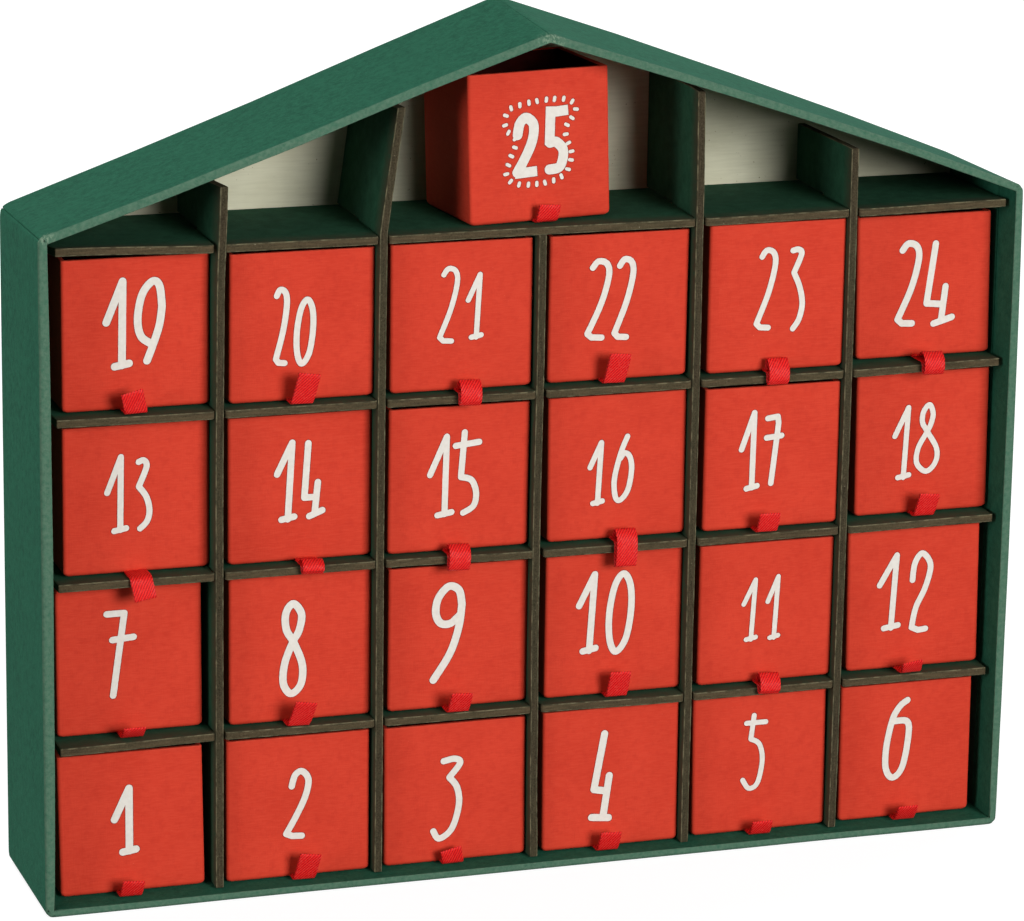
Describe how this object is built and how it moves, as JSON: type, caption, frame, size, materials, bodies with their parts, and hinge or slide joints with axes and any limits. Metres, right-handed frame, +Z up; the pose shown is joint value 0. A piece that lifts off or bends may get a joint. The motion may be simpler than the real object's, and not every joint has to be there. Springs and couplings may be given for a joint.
{
  "type": "paper advent calendar house",
  "caption": "Open-fronted paper-wrapped card house divided into square bays, each holding a small numbered slide-out tray with a ribbon pull.",
  "frame": {"origin": "middle of the base, on the surface that the house stands on", "axes": "+X along the width, to the right as seen from the open front; +Y to the back; +Z up"},
  "size_m": [0.32, 0.0544, 0.2731],
  "materials": {
    "case_board": "matt paper-wrapped greyboard",
    "grid_card": "matt paper-faced card with bare cut edges",
    "lining_paper": "matt white lining paper",
    "tray_card": "matt red paper-wrapped card",
    "ribbon": "red satin ribbon",
    "print": "matt white print"
  },
  "bodies": {
    "house": {"bottom_board": "case_board", "left_wall": "case_board", "right_wall": "case_board", "left_roof": "case_board", "right_roof": "case_board", "back_panel": "case_board", "left_wall_lining": "lining_paper", "right_wall_lining": "lining_paper", "left_roof_lining": "lining_paper", "right_roof_lining": "lining_paper", "back_lining": "lining_paper", "shelf_1": "grid_card", "shelf_2": "grid_card", "shelf_3": "grid_card", "attic_floor": "grid_card", "divider_1": "grid_card", "divider_2": "grid_card", "divider_3": "grid_card", "divider_4": "grid_card", "divider_5": "grid_card"},
    "tray_01": {"tray_01": "tray_card"},
    "tray_02": {"tray_02": "tray_card"},
    "tray_03": {"tray_03": "tray_card"},
    "tray_04": {"tray_04": "tray_card"},
    "tray_05": {"tray_05": "tray_card"},
    "tray_06": {"tray_06": "tray_card"},
    "tray_07": {"tray_07": "tray_card"},
    "tray_08": {"tray_08": "tray_card"},
    "tray_09": {"tray_09": "tray_card"},
    "tray_10": {"tray_10": "tray_card"},
    "tray_11": {"tray_11": "tray_card"},
    "tray_12": {"tray_12": "tray_card"},
    "tray_13": {"tray_13": "tray_card"},
    "tray_14": {"tray_14": "tray_card"},
    "tray_15": {"tray_15": "tray_card"},
    "tray_16": {"tray_16": "tray_card"},
    "tray_17": {"tray_17": "tray_card"},
    "tray_18": {"tray_18": "tray_card"},
    "tray_19": {"tray_19": "tray_card"},
    "tray_20": {"tray_20": "tray_card"},
    "tray_21": {"tray_21": "tray_card"},
    "tray_22": {"tray_22": "tray_card"},
    "tray_23": {"tray_23": "tray_card"},
    "tray_24": {"tray_24": "tray_card"},
    "tray_25": {"tray_25": "tray_card"}
  },
  "joints": [
    {"name": "tray_01_slide", "type": "slide", "parent": "house", "child": "tray_01", "axis": [0, -1, 0], "range_m": [-0.0063, 0.0357]},
    {"name": "tray_02_slide", "type": "slide", "parent": "house", "child": "tray_02", "axis": [0, -1, 0], "range_m": [-0.0065, 0.0355]},
    {"name": "tray_03_slide", "type": "slide", "parent": "house", "child": "tray_03", "axis": [0, -1, 0], "range_m": [-0.0069, 0.0351]},
    {"name": "tray_04_slide", "type": "slide", "parent": "house", "child": "tray_04", "axis": [0, -1, 0], "range_m": [-0.0065, 0.0355]},
    {"name": "tray_05_slide", "type": "slide", "parent": "house", "child": "tray_05", "axis": [0, -1, 0], "range_m": [-0.0055, 0.0365]},
    {"name": "tray_06_slide", "type": "slide", "parent": "house", "child": "tray_06", "axis": [0, -1, 0], "range_m": [-0.0066, 0.0354]},
    {"name": "tray_07_slide", "type": "slide", "parent": "house", "child": "tray_07", "axis": [0, -1, 0], "range_m": [-0.0006, 0.0414]},
    {"name": "tray_08_slide", "type": "slide", "parent": "house", "child": "tray_08", "axis": [0, -1, 0], "range_m": [-0.0018, 0.0402]},
    {"name": "tray_09_slide", "type": "slide", "parent": "house", "child": "tray_09", "axis": [0, -1, 0], "range_m": [-0.0043, 0.0377]},
    {"name": "tray_10_slide", "type": "slide", "parent": "house", "child": "tray_10", "axis": [0, -1, 0], "range_m": [-0.0043, 0.0377]},
    {"name": "tray_11_slide", "type": "slide", "parent": "house", "child": "tray_11", "axis": [0, -1, 0], "range_m": [0, 0.0364]},
    {"name": "tray_12_slide", "type": "slide", "parent": "house", "child": "tray_12", "axis": [0, -1, 0], "range_m": [-0.0041, 0.0379]},
    {"name": "tray_13_slide", "type": "slide", "parent": "house", "child": "tray_13", "axis": [0, -1, 0], "range_m": [0, 0.0396]},
    {"name": "tray_14_slide", "type": "slide", "parent": "house", "child": "tray_14", "axis": [0, -1, 0], "range_m": [0, 0.0387]},
    {"name": "tray_15_slide", "type": "slide", "parent": "house", "child": "tray_15", "axis": [0, -1, 0], "range_m": [0, 0.0353]},
    {"name": "tray_16_slide", "type": "slide", "parent": "house", "child": "tray_16", "axis": [0, -1, 0], "range_m": [0, 0.0366]},
    {"name": "tray_17_slide", "type": "slide", "parent": "house", "child": "tray_17", "axis": [0, -1, 0], "range_m": [-0.007, 0.035]},
    {"name": "tray_18_slide", "type": "slide", "parent": "house", "child": "tray_18", "axis": [0, -1, 0], "range_m": [-0.0029, 0.0391]},
    {"name": "tray_19_slide", "type": "slide", "parent": "house", "child": "tray_19", "axis": [0, -1, 0], "range_m": [-0.0016, 0.0404]},
    {"name": "tray_20_slide", "type": "slide", "parent": "house", "child": "tray_20", "axis": [0, -1, 0], "range_m": [-0.0052, 0.0368]},
    {"name": "tray_21_slide", "type": "slide", "parent": "house", "child": "tray_21", "axis": [0, -1, 0], "range_m": [0, 0.0367]},
    {"name": "tray_22_slide", "type": "slide", "parent": "house", "child": "tray_22", "axis": [0, -1, 0], "range_m": [-0.0057, 0.0363]},
    {"name": "tray_23_slide", "type": "slide", "parent": "house", "child": "tray_23", "axis": [0, -1, 0], "range_m": [0, 0.0365]},
    {"name": "tray_24_slide", "type": "slide", "parent": "house", "child": "tray_24", "axis": [0, -1, 0], "range_m": [0, 0.0396]},
    {"name": "tray_25_slide", "type": "slide", "parent": "house", "child": "tray_25", "axis": [0, -1, 0], "range_m": [-0.0015, 0.0385]}
  ]
}
